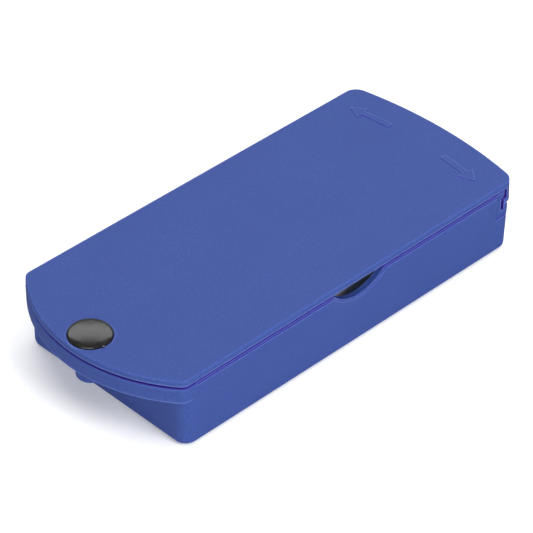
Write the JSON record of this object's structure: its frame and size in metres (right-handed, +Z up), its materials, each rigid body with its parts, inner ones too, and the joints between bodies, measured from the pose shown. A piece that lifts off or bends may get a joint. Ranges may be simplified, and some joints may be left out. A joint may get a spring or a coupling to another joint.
{
  "type": "sticking plaster dispenser box",
  "caption": "Flat pocket box for wrapped sticking plasters: a shallow tray with a lid that swivels sideways on a domed rivet, a hooked far end and finger notches.",
  "frame": {"origin": "middle of the box's footprint, at the bottom of the tray", "axes": "+X towards the hooked far end, away from the rivet; +Y across the box; +Z up through the lid"},
  "size_m": [0.1002, 0.0438, 0.0174],
  "materials": {
    "tray_plastic": "satin moulded plastic, fine texture",
    "lid_plastic": "satin moulded plastic, fine texture",
    "rivet_plastic": "polished black plastic",
    "wrapper_paper": "matt sealing paper",
    "tape": "woven skin-coloured tape",
    "pad_gauze": "soft gauze",
    "liner_paper": "smooth release paper"
  },
  "bodies": {
    "tray": {"base_tray": "tray_plastic", "rivet_pin": "rivet_plastic", "rivet_socket": "rivet_plastic", "plaster_1_wrapper_back": "wrapper_paper", "plaster_1_wrapper_front": "wrapper_paper", "plaster_1_strip": "tape", "plaster_1_pad": "pad_gauze", "plaster_1_liner_near": "liner_paper", "plaster_1_liner_far": "liner_paper", "plaster_2_wrapper_back": "wrapper_paper", "plaster_2_wrapper_front": "wrapper_paper", "plaster_2_strip": "tape", "plaster_2_pad": "pad_gauze", "plaster_2_liner_near": "liner_paper", "plaster_2_liner_far": "liner_paper", "plaster_3_wrapper_back": "wrapper_paper", "plaster_3_wrapper_front": "wrapper_paper", "plaster_3_strip": "tape", "plaster_3_pad": "pad_gauze", "plaster_3_liner_near": "liner_paper", "plaster_3_liner_far": "liner_paper", "plaster_4_wrapper_back": "wrapper_paper", "plaster_4_wrapper_front": "wrapper_paper", "plaster_4_strip": "tape", "plaster_4_pad": "pad_gauze", "plaster_4_liner_near": "liner_paper", "plaster_4_liner_far": "liner_paper", "plaster_5_wrapper_back": "wrapper_paper", "plaster_5_wrapper_front": "wrapper_paper", "plaster_5_strip": "tape", "plaster_5_pad": "pad_gauze", "plaster_5_liner_near": "liner_paper", "plaster_5_liner_far": "liner_paper"},
    "lid": {"lid": "lid_plastic"}
  },
  "joints": [
    {"name": "lid_swivel", "type": "hinge", "parent": "tray", "child": "lid", "pos_m": [-0.04513, 0, 0.0152], "axis": [0, 0, 1], "continuous": true}
  ]
}
